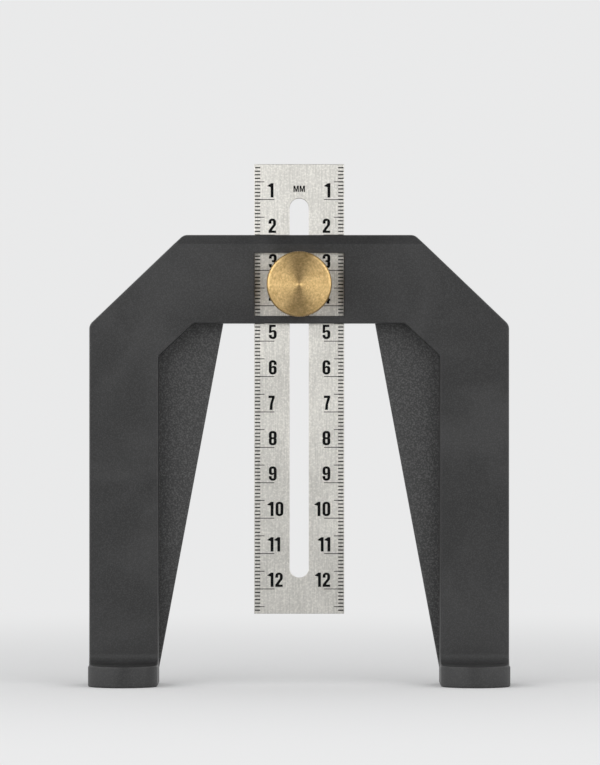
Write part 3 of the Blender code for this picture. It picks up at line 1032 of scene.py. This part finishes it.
def softened_ring(axis: Axis, corners: np.ndarray, columns: int, closed: bool, steps: int = 5) -> Solid:
    """A turned solid: a profile with rounded corners, carried round the axis.

    Args:
        axis: The axis it is turned about.
        corners: Rows of (radius, height, rounding).
        columns: How many points a ring has.
        closed: Whether the profile closes on itself, as a ring's does.
        steps: Stretches in each arc.

    Returns:
        The solid.
    """
    profile = rounded(corners, steps, closed)
    radius = np.repeat(profile[:, :1], columns, axis=1)
    return turned(axis, radius, profile[:, 1:], closed)


@dataclass
class Washer:
    """The flat washer under the knob."""

    finish: PlatedMetal
    bore_radius: float = 2.7 * MM
    rounding: float = 0.2 * MM
    columns: int = 120
    sharp: float = math.radians(60)

    def build(self) -> bpy.types.Object:
        """Makes the piece.

        Returns:
            The washer.
        """
        box = NodeBox.of("clamp_washer")
        seat = np.array([box.centre[0], box.high[1], box.centre[2]])
        axis = Axis(seat, (1, 0, 0), (0, 0, 1), (0, -1, 0))
        bore, outer, top = self.bore_radius, box.size[0] / 2, box.size[1]
        small, large = self.rounding / 2, self.rounding
        corners = np.array([(bore, top, small), (outer, top, large), (outer, 0, large), (bore, 0, small)])
        made = softened_ring(axis, corners, self.columns, True).build("washer", self.sharp)
        made.data.materials.append(self.finish.build())
        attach(made, "washer")
        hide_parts("clamp_washer")
        return made


@dataclass
class FootMagnet:
    """One disc magnet, in its pocket under a foot."""

    finish: bpy.types.Material
    side: Side
    rounding: float = 0.35 * MM
    columns: int = 120
    sharp: float = math.radians(60)

    def build(self) -> bpy.types.Object:
        """Makes the piece.

        Returns:
            The magnet.
        """
        side = self.side.name.lower()
        box = NodeBox.of(f"foot_magnet_{side}")
        axis = Axis(np.array([box.centre[0], box.centre[1], box.low[2]]), (1, 0, 0), (0, 1, 0), (0, 0, 1))
        radius, height, edge = box.size[0] / 2, box.size[2], self.rounding
        corners = np.array([(0, height, 0), (radius, height, edge), (radius, 0, edge), (0, 0, 0)])
        made = softened_ring(axis, corners, self.columns, False).build(f"magnet_{side}", self.sharp)
        made.data.materials.append(self.finish)
        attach(made, "frame")
        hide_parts(f"foot_magnet_{side}")
        return made


@dataclass
class Numerals:
    """Bold narrow numbers and the unit, drawn as outlines of a few rounded corners, in millimetres."""

    depth: float
    tall: float = 4.05
    broad: float = 2.22
    stem: float = 0.83
    bar: float = 0.66
    corner: float = 0.98
    bearing: tuple[float, float] = (0.40, 0.18)
    narrow: dict[str, tuple[float, float]] = field(
        default_factory=lambda: {"1": (0.0, 0.17), "2": (0.32, 0.23), "7": (0.29, 0.23)}
    )
    solids: dict[str, Solid] = field(init=False)
    widths: dict[str, float] = field(init=False)

    def __post_init__(self) -> None:
        """Draws each sign once, from outlines whose rows are (across, up, rounding)."""
        w, h, s, b, r = self.broad, self.tall, self.stem, self.bar, self.corner
        inner, bowl, pinch, lip = 0.2, 0.9, 0.25, 1.2
        waist, notch, two = 2.0, 0.16, w - 0.10
        below, above = waist - 0.3, waist + 0.3
        six = [
            [
                (0, 0, r), (0, h, r), (w, h, r), (w, 2.72, 0), (w - s, 2.72, 0), (w - s, h - b, inner),
                (s, h - b, inner), (s, 2.2, 0), (1.05, 2.45, 0.3), (w, 2.45, 0.8), (w, 0, r),
            ],
            self._hole(s, b, w - s, 1.86, inner),
        ]
        signs = {
            "0": [[(0, 0, r), (0, h, r), (w, h, r), (w, 0, r)], self._hole(s, b, w - s, h - b, inner)],
            "1": [
                [
                    (0.91, 0, 0), (0.91, h - 1.12, 0), (0, h - 0.88, 0), (0, h - 0.72, 0), (1.06, h, 0),
                    (1.73, h, 0), (1.73, 0, 0),
                ]
            ],
            "2": [
                [
                    (0, 0, 0), (0, 0.66, 0.3), (two - s, 2.35, 0.5), (two - s, h - b, inner),
                    (s, h - b, inner), (s, 2.6, 0), (0, 2.6, 0), (0, h, r), (two, h, r),
                    (two, 2.25, 0.7), (0.92, 0.66, 0.1), (two, 0.66, 0), (two, 0, 0),
                ]
            ],
            "3": [
                [
                    (0, 0, r), (0, lip, 0), (s, lip, 0), (s, b, inner), (w - s, b, inner),
                    (w - s, 1.76, inner), (s, 1.76, 0), (s, 2.28, 0), (w - s, 2.28, inner),
                    (w - s, h - b, inner), (s, h - b, inner), (s, 2.72, 0), (0, 2.72, 0), (0, h, r),
                    (w, h, bowl), (w, above, pinch), (w - notch, waist, 0), (w, below, pinch), (w, 0, bowl),
                ]
            ],
            "4": [
                [
                    (1.15, 0, 0), (1.15, 0.8, 0), (0, 0.8, 0), (0, 1.42, 0), (1.0, h, 0), (1.92, h, 0),
                    (1.92, 1.36, 0), (2.2, 1.36, 0), (2.2, 0.8, 0), (1.92, 0.8, 0), (1.92, 0, 0),
                ],
                [(1.15, 1.36, 0), (1.15, 2.75, 0), (0.6, 1.36, 0)],
            ],
            "5": [
                [
                    (0, 0, r), (0, lip, 0), (s, lip, 0), (s, b, inner), (w - s, b, inner),
                    (w - s, 2.0, inner), (0.74, 2.0, inner), (0.74, 1.74, 0), (0.02, 1.74, 0), (0.1, h, 0),
                    (1.95, h, 0), (1.95, h - 0.64, 0), (0.78, h - 0.64, 0), (0.74, 2.38, 0),
                    (1.1, 2.56, 0.3), (w, 2.56, 0.8), (w, 0, r),
                ]
            ],
            "6": six,
            "7": [
                [
                    (0.30, 0, 0), (0.50, 1.7, 0.9), (0.98, h - 0.70, 0), (0, h - 0.70, 0), (0, h, 0),
                    (1.78, h, 0), (1.78, h - 0.64, 0), (1.22, 1.7, 0.9), (1.14, 0, 0),
                ]
            ],
            "8": [
                [
                    (0, 0, bowl), (0, below, pinch), (notch, waist, 0), (0, above, pinch), (0, h, bowl),
                    (w, h, bowl), (w, above, pinch), (w - notch, waist, 0), (w, below, pinch), (w, 0, bowl),
                ],
                self._hole(s, b, w - s, 1.74, inner),
                self._hole(s, 2.28, w - s, h - b, inner),
            ],
            "9": [[(w - x, h - y, radius) for x, y, radius in outline] for outline in six],
        }
        self.solids = {sign: self._solid(outlines) for sign, outlines in signs.items()}
        self.widths = {sign: max(x for x, _, _ in outlines[0]) for sign, outlines in signs.items()}

    @staticmethod
    def _hole(left: float, bottom: float, right: float, top: float, radius: float) -> list[tuple]:
        """A counter: a rectangle with round corners."""
        return [(left, bottom, radius), (left, top, radius), (right, top, radius), (right, bottom, radius)]

    def _solid(self, outlines: list[list[tuple]]) -> Solid:
        """One sign as a thin solid, its lower left corner at the origin."""
        drawn = [rounded(np.array(outline, dtype=float)) * MM for outline in outlines]
        return prism(drawn, self.depth)

    def bearings(self, sign: str) -> tuple[float, float]:
        """The room a sign keeps free on its left and on its right, in millimetres."""
        return self.narrow.get(sign, self.bearing)

    def width(self, text: str) -> float:
        """How wide a number is set with its bearings, in metres."""
        return sum(self.widths[sign] + sum(self.bearings(sign)) for sign in text) * MM

    def set(self, text: str, left: float, bottom: float, y: float) -> Solid:
        """A number as one solid, its signs side by side.

        Args:
            text: The number.
            left: Where its first sign's bearing starts.
            bottom: Where it stands.
            y: The middle of its depth.

        Returns:
            The solid.
        """
        solids = []
        for sign in text:
            before, after = self.bearings(sign)
            solids.append(self.solids[sign].copies(np.array([[left + before * MM, y, bottom]])))
            left += (before + self.widths[sign] + after) * MM
        return Solid.joined(solids)

    def unit(self, centre: float, bottom: float, y: float) -> Solid:
        """The unit, millimetres: two small capitals, each of two stems with a V between them.

        Args:
            centre: The middle between its letters.
            bottom: Where it stands.
            y: The middle of its depth.

        Returns:
            The solid.
        """
        width, height, stem, shoulder, fork, heel, gap = 1.50, 1.78, 0.34, 0.46, 0.62, 0.14, 0.22
        middle, armpit = width / 2, height - fork
        outline = [
            (0, 0, 0), (0, height, 0), (shoulder, height, 0), (middle, fork, 0),
            (width - shoulder, height, 0), (width, height, 0), (width, 0, 0), (width - stem, 0, 0),
            (width - stem, armpit, 0), (middle + heel, 0, 0), (middle - heel, 0, 0), (stem, armpit, 0),
            (stem, 0, 0),
        ]
        left = centre - (width + gap / 2) * MM
        offsets = np.array([[left, y, bottom], [centre + gap / 2 * MM, y, bottom]])
        return self._solid([outline]).copies(offsets)


@dataclass
class Rule:
    """The slotted steel rule and its marks, which all ride on the sliding body."""

    steel: BrushedSteel
    ink: Ink
    slot_width: float = 5.4 * MM
    slot_top: float = 9.7 * MM
    slot_bottom: float = 10.2 * MM
    edge: float = 0.18 * MM
    proud: float = 0.012 * MM
    mark_depth: float = 0.03 * MM
    tick: float = 0.34 * MM
    line: float = 0.21 * MM
    short: float = 1.7 * MM
    middle: float = 2.9 * MM
    long: float = 5.7 * MM
    step: float = 1.0 * MM
    number_rise: float = 0.58 * MM
    number_inset: float = 3.72 * MM
    unit_drop: float = 7.85 * MM
    fifth: int = 5
    tenth: int = 10
    edge_steps: int = 4
    side_points: int = 9
    end_points: int = 25
    sharp: float = math.radians(50)
    mark_sharp: float = math.radians(30)
    box: NodeBox = field(init=False)

    def __post_init__(self) -> None:
        """Reads the CAD rule's box."""
        self.box = NodeBox.of("ruler")

    def build(self) -> list[bpy.types.Object]:
        """Makes the strip, the graduations and the numbers.

        Returns:
            The three pieces.
        """
        strip = self.strip().build("rule_strip", self.sharp)
        strip.data.materials.append(self.steel.build())
        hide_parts("ruler")
        ink = self.ink.build()
        lines = self.graduations().build("rule_graduations", self.mark_sharp)
        numbers = self.numbers().build("rule_numbers", self.mark_sharp)
        for piece in (lines, numbers):
            piece.data.materials.append(ink)
        for piece in (strip, lines, numbers):
            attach(piece, "rule")
        return [strip, lines, numbers]

    def strip(self) -> Solid:
        """The strip: a section with four soft edges, carried round the slot.

        One ring of points follows the slot and the other the rule's own outline. The section's steps move
        both rings into the steel by the same inset while they go from one face to the other.

        Returns:
            The strip.
        """
        turn = np.linspace(0, math.pi / 2, self.edge_steps)
        soft_inset, soft_depth = self.edge * (1 - np.sin(turn)), self.edge * (1 - np.cos(turn))
        back, front = self.box.high[1], self.box.low[1]
        insets = np.concatenate([soft_inset, soft_inset[::-1]])
        depths = np.concatenate([back - soft_depth, front + soft_depth[::-1]])
        rings = [self._slot_ring(inset, y) for inset, y in zip(insets, depths)]
        rings += [self._outer_ring(inset, y) for inset, y in zip(insets, depths[::-1])]
        points = np.stack(rings)
        return Solid(points.reshape(-1, 3), grid_faces(len(rings), points.shape[1], close_rows=True))

    def _stations(self) -> tuple[np.ndarray, np.ndarray, np.ndarray]:
        """Turns for one round end of the slot, from one side's middle over the two corner rays to the other.

        Returns:
            The turns before the first corner, between the corners, and past the second.
        """
        corner = math.atan2(self.slot_top + self.slot_width / 2, self.box.size[0] / 2)
        first = np.linspace(0, corner, self.side_points)
        middle = np.linspace(corner, math.pi - corner, self.end_points)
        return first, middle, np.linspace(math.pi - corner, math.pi, self.side_points)

    def _slot_ring(self, inset: float, y: float) -> np.ndarray:
        """The slot's outline, moved outwards by an inset: two half circles, which straight sides join.

        Args:
            inset: How far it moves.
            y: Where it lies in the strip's thickness.

        Returns:
            Points of the ring.
        """
        radius = self.slot_width / 2
        turn = np.concatenate(self._stations())
        x, z = (radius + inset) * np.cos(turn), (radius + inset) * np.sin(turn)
        depth = np.full_like(x, y)
        top = np.stack([x, depth, self.box.high[2] - self.slot_top - radius + z], axis=1)
        bottom = np.stack([-x, depth, self.box.low[2] + self.slot_bottom + radius - z], axis=1)
        return np.concatenate([top, bottom]) + [self.box.centre[0], 0, 0]

    def _outer_ring(self, inset: float, y: float) -> np.ndarray:
        """The rule's outline, moved inwards by an inset, with the same number of points as the slot's.

        Each half goes straight up one side, straight over the end and straight down the other side.

        Args:
            inset: How far it moves.
            y: Where it lies in the strip's thickness.

        Returns:
            Points of the ring.
        """
        half, radius = self.box.size[0] / 2 - inset, self.slot_width / 2
        first, middle, last = (np.linspace(0, 1, len(part)) for part in self._stations())
        x = np.concatenate([np.full_like(first, half), half * (1 - 2 * middle), np.full_like(last, -half)])
        rise = np.concatenate([first, np.ones_like(middle), 1 - last])
        top_start, bottom_start = self.slot_top + radius, self.slot_bottom + radius
        top = self.box.high[2] - top_start + rise * (top_start - inset)
        bottom = self.box.low[2] + bottom_start - rise * (bottom_start - inset)
        depth = np.full_like(x, y)
        upper = np.stack([x, depth, top], axis=1)
        lower = np.stack([-x, depth, bottom], axis=1)
        return np.concatenate([upper, lower]) + [self.box.centre[0], 0, 0]

    @property
    def mark_y(self) -> float:
        """The middle of the marks' depth, which leaves their front just proud of the steel."""
        return self.box.low[1] - self.proud + self.mark_depth / 2

    def graduations(self) -> Solid:
        """Marks down both edges: a broad tick at each step, which a thin line takes further at each fifth.

        Returns:
            The marks.
        """
        count = np.arange(1, int(round(self.box.size[2] / self.step)))
        fifths = count[count % self.fifth == 0]
        reach = np.where(fifths % self.tenth == 0, self.long, self.middle)
        edge, short = np.full(len(count), self.edge), np.full(len(count), self.short)
        solids = []
        for side in Side:
            solids.append(self._lines(side, count, edge, short, self.tick))
            solids.append(self._lines(side, fifths, short[: len(fifths)], reach, self.line))
        return Solid.joined(solids)

    def _lines(
        self, side: Side, count: np.ndarray, start: np.ndarray, end: np.ndarray, height: float
    ) -> Solid:
        """Level lines at one edge.

        Args:
            side: Which edge.
            count: How many steps each lies below the rule's top.
            start: How far in from the edge each starts.
            end: How far in from the edge each ends.
            height: How thick they are.

        Returns:
            One box for each.
        """
        x = self.box.centre[0] + side.value * (self.box.size[0] / 2 - (start + end) / 2)
        centres = np.stack([x, np.full_like(x, self.mark_y), self.box.high[2] - count * self.step], axis=1)
        sizes = np.stack([end - start, np.full_like(x, self.mark_depth), np.full_like(x, height)], axis=1)
        return boxes(centres, sizes)

    def numbers(self) -> Solid:
        """Centimetre numbers above their lines on both sides, and the unit near the top.

        Returns:
            The numbers and the unit.
        """
        numerals = Numerals(self.mark_depth)
        left_edge, right_edge = self.box.low[0] + self.number_inset, self.box.high[0] - self.number_inset
        solids = [numerals.unit(self.box.centre[0], self.box.high[2] - self.unit_drop, self.mark_y)]
        for number in range(1, int(self.box.size[2] / (self.tenth * self.step)) + 1):
            text = str(number)
            bottom = self.box.high[2] - number * self.tenth * self.step + self.number_rise
            for left in (left_edge, right_edge - numerals.width(text)):
                solids.append(numerals.set(text, left, bottom, self.mark_y))
        return Solid.joined(solids)


# Floor, light and camera


@dataclass
class Studio:
    """A pale floor that fades into a pale background, a large soft box on each side and a camera."""

    pale: Triple = (0.90, 0.902, 0.905)
    ambient: float = 0.66
    backdrop: float = 0.91
    floor_radius: float = 12.0
    first_ring: float = 0.1
    floor_rings: int = 24
    floor_columns: int = 64
    floor_shares: tuple[float, float] = (1.0, 0.985)
    floor_noise: dict[str, float] = field(default_factory=lambda: {"Scale": 6.0, "Detail": 2.0})
    near: float = 0.06
    far: float = 0.50
    lamp_distance: float = 0.85
    lamp_angle: float = math.radians(52)
    lamp_rise: float = math.radians(17)
    lamp_width: float = 1.40
    lamp_height: float = 0.64
    powers: dict[Side, float] = field(default_factory=lambda: {Side.LEFT: 3.8, Side.RIGHT: 3.1})
    flag_distance: float = 2.6
    flag_height: float = 3.2
    flag_past: float = 0.6
    flag_start: float = 0.05
    flag_rows: int = 20
    flag_tone: Triple = (0.33, 0.33, 0.33)
    flag_spread: float = math.tan(math.radians(15))
    roof_spread: float = math.tan(math.radians(38))
    eye_distance: float = 1.5
    eye_height: float = 85.33 * MM
    eye_shift: float = 0.23 * MM
    view_height: float = 216.1 * MM
    sensor: float = 36.0
    clip_end: float = 100.0

    def build(self) -> None:
        """Makes the stage."""
        self.floor()
        self.world()
        middle = NodeBox.of("clamp_knob").centre
        for side in Side:
            self.lamp(side, middle)
        self.flag(middle)
        self.camera()
        bpy.context.scene.view_settings.view_transform = "Standard"

    def floor(self) -> None:
        """A flat disc. Far out, camera and mirror rays see the background's own colour on it."""
        ring = np.concatenate([[0.0], np.geomspace(self.first_ring, self.floor_radius, self.floor_rings)])
        radius = np.repeat(ring[:, None], self.floor_columns, axis=1)
        axis = Axis(np.zeros(3), (1, 0, 0), (0, 1, 0), (0, 0, 1))
        floor = turned(axis, radius, np.zeros((len(ring), 1))).build("floor", math.pi)
        material, nodes, shader = principled("pale_floor", {"Roughness": 1.0, "Specular IOR Level": 0.0})
        place = nodes.object_place()
        noise = nodes.add("ShaderNodeTexNoise", {"Vector": place} | self.floor_noise).outputs["Fac"]
        nodes.feed(shader, {"Base Color": nodes.colours(noise, *shades(self.pale, *self.floor_shares))})
        distance = nodes.vector("LENGTH", place, output="Value")
        fade = nodes.math("MULTIPLY", nodes.ramp(distance, self.near, self.far), self._seen(nodes))
        glow = {"Color": (*shades(self.pale, self.backdrop)[0], 1.0), "Strength": 1.0}
        emission = nodes.add("ShaderNodeEmission", glow)
        mixed = nodes.add("ShaderNodeMixShader", {0: fade, 1: shader.outputs["BSDF"], 2: emission.outputs[0]})
        output = next(node for node in nodes.tree.nodes if node.type == "OUTPUT_MATERIAL")
        nodes.feed(output, {"Surface": mixed.outputs[0]})
        floor.data.materials.append(material)

    @staticmethod
    def _seen(nodes: Nodes) -> Socket:
        """One for camera, mirror and transmitted rays, and none for the rays that only light a surface.

        Args:
            nodes: The material's or the world's nodes.

        Returns:
            The output that gives it.
        """
        path = nodes.add("ShaderNodeLightPath").outputs
        mirrored = nodes.math("MAXIMUM", path["Is Glossy Ray"], path["Is Transmission Ray"])
        return nodes.math("MAXIMUM", path["Is Camera Ray"], mirrored)

    def world(self) -> None:
        """The background: pale where it is seen, and weaker as a light."""
        world = bpy.data.worlds.new("studio")
        bpy.context.scene.world = world
        world.use_nodes = True
        nodes = Nodes(world.node_tree)
        strength = nodes.math("MULTIPLY_ADD", self._seen(nodes), self.backdrop - self.ambient, self.ambient)
        shader = nodes.add("ShaderNodeBackground", {"Color": (*self.pale, 1.0), "Strength": strength})
        nodes.add("ShaderNodeOutputWorld", {"Surface": shader.outputs[0]})

    def lamp(self, side: Side, middle: np.ndarray) -> None:
        """A soft box on one side, which faces a point.

        Args:
            side: Which side it stands on.
            middle: The point.
        """
        name = f"soft_box_{side.name.lower()}"
        light = bpy.data.lights.new(name, "AREA")
        light.shape = "RECTANGLE"
        light.size, light.size_y = self.lamp_width, self.lamp_height
        light.energy = self.powers[side]
        lamp = bpy.data.objects.new(name, light)
        turn, rise = side.value * self.lamp_angle, self.lamp_rise
        out = np.array([math.sin(turn) * math.cos(rise), -math.cos(turn) * math.cos(rise), math.sin(rise)])
        lamp.location = middle + out * self.lamp_distance
        lamp.rotation_euler = (math.pi / 2 - rise, 0.0, turn)
        lamp.visible_camera = False
        bpy.context.scene.collection.objects.link(lamp)

    def flag(self, middle: np.ndarray) -> None:
        """A dark flag in front and overhead, which only mirror rays see, so that metal keeps its contrast.

        It lies on the floor, stands up at its far end and comes back overhead. Its half width is a share of
        each place's distance from the middle of the knob, and that share grows on the way back.

        Args:
            middle: The middle of the knob.
        """
        out = np.geomspace(self.flag_start, self.flag_distance, self.flag_rows)
        up = np.linspace(0.0, self.flag_height, self.flag_rows)[1:]
        back = np.linspace(0, 1, self.flag_rows)[1:]
        overhead = self.flag_distance * (1 - back) - self.flag_past * back
        y = middle[1] - np.concatenate([out, np.full_like(up, self.flag_distance), overhead])
        z = np.concatenate([np.full_like(out, MM), up, np.full_like(back, self.flag_height)])
        spread = np.full_like(y, self.flag_spread)
        spread[-len(back) :] += (self.roof_spread - self.flag_spread) * np.sqrt(back)
        half = spread * np.hypot(y - middle[1], z - middle[2])
        points = np.stack([np.stack([middle[0] + way * half, y, z], axis=1) for way in (-1, 1)], axis=1)
        row = np.arange(len(y) - 1)[:, None] * 2
        flag = Solid(points.reshape(-1, 3), row + np.array([[0, 1, 3, 2]])).build("dark_flag", math.pi)
        material, _, _ = principled("dark_flag", {"Base Color": (*self.flag_tone, 1.0), "Roughness": 1.0})
        flag.data.materials.append(material)
        flag.visible_camera = False
        flag.visible_diffuse = False
        flag.visible_shadow = False

    def camera(self) -> None:
        """A long lens straight in front, as far away as the foot's foreshortening tells."""
        rule_y = NodeBox.of("ruler").low[1]
        data = bpy.data.cameras.new("camera")
        data.sensor_width = self.sensor
        data.lens = self.sensor * self.eye_distance / self.view_height
        data.clip_end = self.clip_end
        camera = bpy.data.objects.new("camera", data)
        camera.location = (self.eye_shift, rule_y - self.eye_distance, self.eye_height)
        camera.rotation_euler = (math.pi / 2, 0.0, 0.0)
        bpy.context.scene.collection.objects.link(camera)
        bpy.context.scene.camera = camera


def main() -> None:
    """Builds each piece in order."""
    logging.basicConfig(level=logging.INFO, format="%(name)s: %(message)s")
    effects, thread = Effects(), Thread()
    zinc = PlatedMetal(effects, "zinc_plating", colour=(0.70, 0.71, 0.73), roughness=0.26)
    nickel = PlatedMetal(effects, "nickel_plating", colour=(0.72, 0.70, 0.66), roughness=0.16).build()
    knob_centre = tuple(float(x) for x in NodeBox.of("clamp_knob").centre)
    pieces = [Arch(MouldedPlastic(effects)).build()]
    pieces += Rule(BrushedSteel(effects), Ink(effects)).build()
    pieces.append(Bolt(zinc, thread).build())
    pieces.append(Washer(zinc).build())
    pieces.append(Knob(TurnedBrass(effects, knob_centre), thread).build())
    pieces += [FootMagnet(nickel, side).build() for side in Side]
    Studio().build()


if __name__ == "__main__":
    main()
